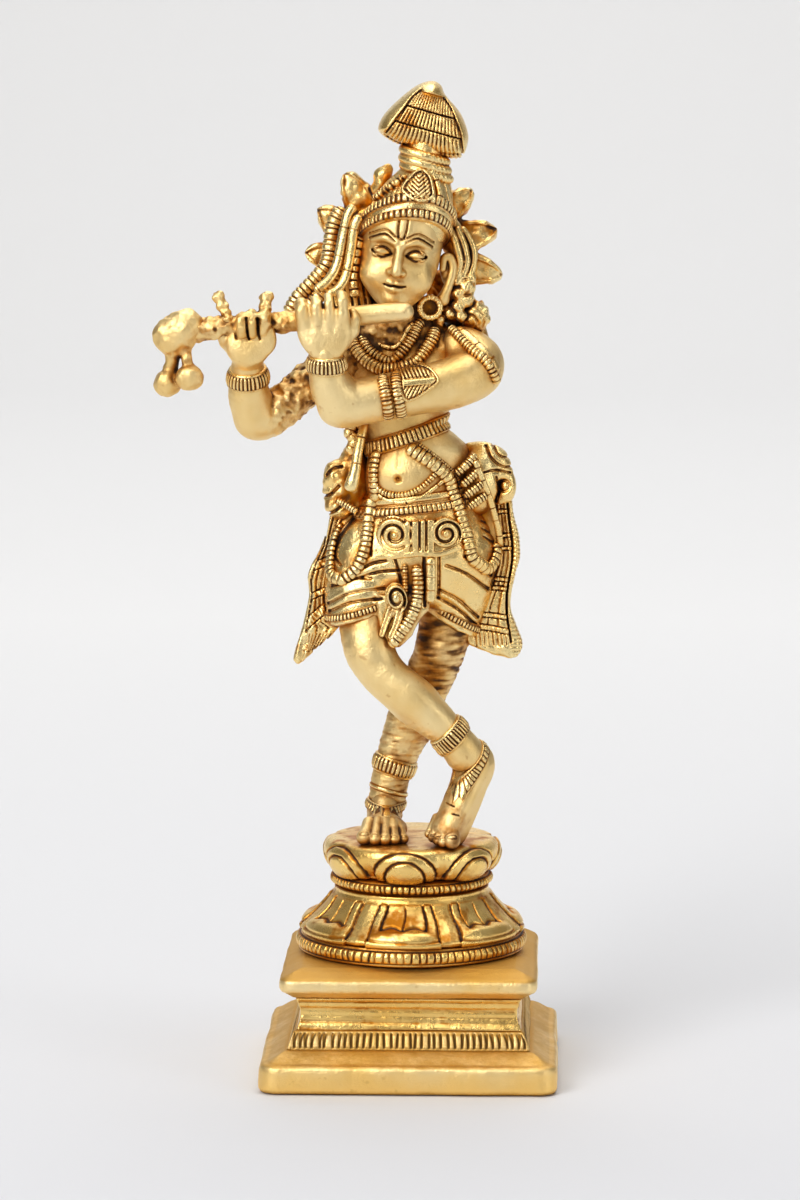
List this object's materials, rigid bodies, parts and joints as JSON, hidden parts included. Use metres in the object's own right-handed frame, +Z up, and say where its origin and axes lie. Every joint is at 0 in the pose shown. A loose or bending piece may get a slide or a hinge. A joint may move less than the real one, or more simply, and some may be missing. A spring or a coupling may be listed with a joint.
{
  "type": "deity statue",
  "caption": "Cast brass flute player standing with crossed legs on a round double lotus and a hollow square stepped plinth.",
  "frame": {"origin": "centre of the square plinth, on the surface it stands on", "axes": "+Z up through the figure; the figure faces -Y; its right hand and the flute's far end are on the -X side"},
  "size_m": [0.0928, 0.0686, 0.2292],
  "materials": {
    "antique_brass": "chased antique brass, polished on the high points and dark in the cuts",
    "skin_brass": "soft hand-brushed brass with brown wax left in the hollows",
    "lotus_brass": "polished brass with dark incised lines",
    "satin_brass": "satin brass, filed level and brushed",
    "fixing_steel": "plain zinc-plated steel, dulled"
  },
  "bodies": {
    "root": {"base_slab": "satin_brass", "ribbed_band": "satin_brass", "plinth_waist": "satin_brass", "plinth_cap": "satin_brass", "lower_bead_ring": "lotus_brass", "lower_lotus": "lotus_brass", "upper_bead_ring": "lotus_brass", "upper_lotus": "lotus_brass", "tie_stud": "fixing_steel", "tie_washer": "fixing_steel", "tie_nut": "fixing_steel", "right_leg": "skin_brass", "right_foot": "skin_brass", "left_leg": "skin_brass", "left_foot": "skin_brass", "right_anklet": "antique_brass", "right_foot_strap": "antique_brass", "left_anklet": "antique_brass", "left_ankle_band": "antique_brass", "dhoti": "antique_brass", "right_dhoti_hem": "antique_brass", "left_dhoti_hem": "antique_brass", "waist_belt": "antique_brass", "belt_buckle": "antique_brass", "front_pleat": "antique_brass", "rosette_pendant": "antique_brass", "right_garland": "antique_brass", "left_garland": "antique_brass", "right_sash": "antique_brass", "left_sash": "antique_brass", "right_hip_bow": "antique_brass", "left_hip_bow": "antique_brass", "belly_chain": "antique_brass", "torso": "skin_brass", "chest_band": "antique_brass", "scarf_tail": "antique_brass", "inner_necklace": "antique_brass", "outer_necklace": "antique_brass", "left_arm": "skin_brass", "left_hand": "skin_brass", "left_bracelet": "antique_brass", "left_armlet": "antique_brass", "shoulder_rope": "antique_brass", "right_arm": "skin_brass", "right_hand": "skin_brass", "right_bracelet": "antique_brass", "flute": "antique_brass", "flute_tassel": "antique_brass", "head": "skin_brass", "left_ear": "antique_brass", "left_earring": "antique_brass", "left_hair": "antique_brass", "right_hair_lock": "antique_brass", "braid": "antique_brass", "halo_petals": "antique_brass", "crown_dome": "antique_brass", "crown_bands": "antique_brass", "crown_leaf": "antique_brass", "topknot_rings": "antique_brass", "plume": "antique_brass"}
  },
  "joints": []
}
